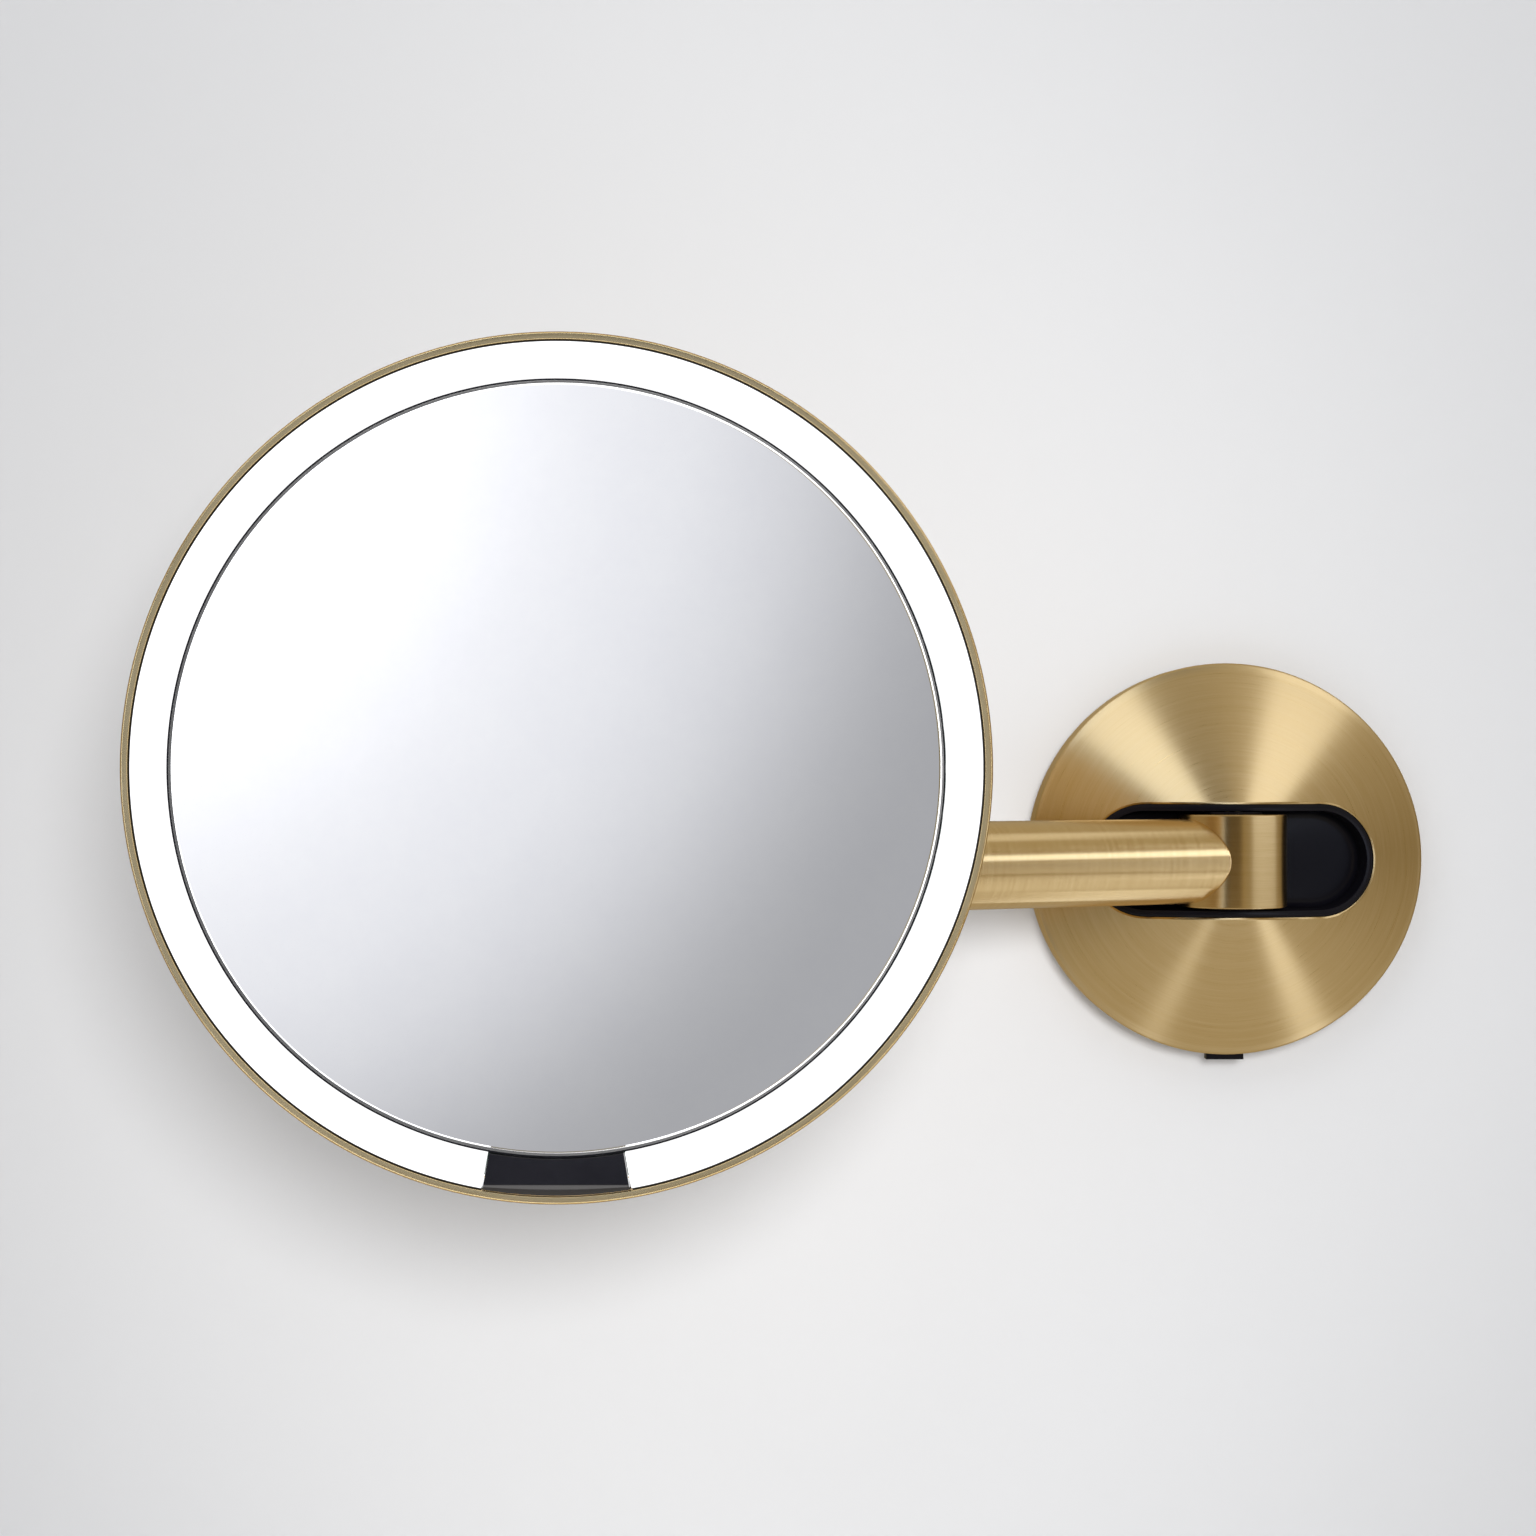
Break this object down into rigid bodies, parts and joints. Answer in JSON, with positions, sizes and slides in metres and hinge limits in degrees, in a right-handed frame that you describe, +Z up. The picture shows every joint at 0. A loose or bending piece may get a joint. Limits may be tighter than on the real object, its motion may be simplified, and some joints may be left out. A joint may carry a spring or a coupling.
{
  "type": "extendable shaving mirror",
  "caption": "Round lit shaving mirror on a telescoping wall arm, with a swinging barrel hinge, a swivel and tilt joint behind the head, and a release tab under the round wall plate.",
  "frame": {"origin": "centre of the wall bracket's back face, on the wall", "axes": "+Z up, -Y straight out from the wall into the room, +X to the right seen from the room"},
  "size_m": [0.382, 0.1751, 0.229],
  "materials": {
    "brushed_brass": "brass-coloured metal, brushed round on turned parts",
    "zinc_steel": "satin zinc-plated steel",
    "black_plastic": "satin moulded black",
    "bush_plastic": "matt bearing plastic",
    "foam": "matt closed-cell foam",
    "white_plastic": "matt white",
    "lit_diffuser": "opal diffuser, lit from behind",
    "mirror_glass": "silvered glass with a polished edge",
    "black_gloss": "gloss black sensor window",
    "circuit_board": "green solder mask",
    "battery_wrap": "shrink-wrapped cells"
  },
  "bodies": {
    "base": {"wall_bracket": "zinc_steel", "wall_gasket": "foam", "base_housing": "black_plastic", "wall_plate": "brushed_brass", "pocket_liner": "black_plastic", "release_spring": "zinc_steel", "liner_screw_1": "zinc_steel", "liner_screw_2": "zinc_steel", "liner_screw_3": "zinc_steel", "liner_screw_4": "zinc_steel", "plate_grub_screw_1": "zinc_steel", "plate_grub_screw_2": "zinc_steel", "hinge_pin": "zinc_steel", "upper_thrust_washer": "bush_plastic", "lower_thrust_washer": "bush_plastic"},
    "tab": {"release_tab": "black_plastic"},
    "arm": {"arm_barrel": "brushed_brass", "hinge_upper_bush": "bush_plastic", "hinge_lower_bush": "bush_plastic", "outer_tube": "brushed_brass", "tube_collar": "brushed_brass", "collar_bush": "bush_plastic"},
    "slider": {"inner_tube": "brushed_brass", "guide_bush": "bush_plastic", "end_knuckle": "brushed_brass", "knuckle_upper_bush": "bush_plastic", "knuckle_lower_bush": "bush_plastic"},
    "swivel": {"swivel_post": "brushed_brass", "post_washer": "zinc_steel", "post_nut": "zinc_steel"},
    "head": {"mirror_glass": "mirror_glass", "mirror_backing": "foam", "mirror_carrier": "white_plastic", "glass_bezel": "black_plastic", "light_ring": "lit_diffuser", "led_board": "circuit_board", "sensor_window": "black_gloss", "sensor_board": "circuit_board", "rim_ring": "brushed_brass", "rear_cover": "brushed_brass", "battery_pack": "battery_wrap", "control_board": "circuit_board", "charge_socket": "zinc_steel", "cover_screw_1": "zinc_steel", "cover_screw_2": "zinc_steel", "cover_screw_3": "zinc_steel", "cover_screw_4": "zinc_steel", "hub_plate": "zinc_steel", "hub_bracket": "brushed_brass", "hub_screw_1": "zinc_steel", "hub_screw_2": "zinc_steel", "tilt_pin": "zinc_steel", "tilt_nut": "zinc_steel", "left_friction_disc": "bush_plastic", "right_friction_disc": "bush_plastic"},
    "switch": {"power_switch": "black_plastic"}
  },
  "joints": [
    {"name": "arm_swing", "type": "hinge", "parent": "base", "child": "arm", "pos_m": [0, -0.026, 0], "axis": [0, 0, 1], "range_deg": [-13, 130]},
    {"name": "arm_extend", "type": "slide", "parent": "arm", "child": "slider", "axis": [-0.8926, -0.4509, 0], "range_m": [0, 0.105]},
    {"name": "head_swivel", "type": "hinge", "parent": "slider", "child": "swivel", "pos_m": [-0.20405, -0.12907, 0], "axis": [0, 0, 1], "range_deg": [-145, 25]},
    {"name": "head_tilt", "type": "hinge", "parent": "swivel", "child": "head", "pos_m": [-0.20405, -0.12907, 0.0295], "axis": [1, 0, 0], "range_deg": [-30, 15]},
    {"name": "power_switch_slide", "type": "slide", "parent": "head", "child": "switch", "axis": [1, 0, 0], "range_m": [0, 0.004]},
    {"name": "release_tab_press", "type": "slide", "parent": "base", "child": "tab", "axis": [0, 0, 1], "range_m": [0, 0.002], "stiffness_N_per_m": 400, "springref_m": -0.002, "deforming": ["release_spring"]}
  ]
}
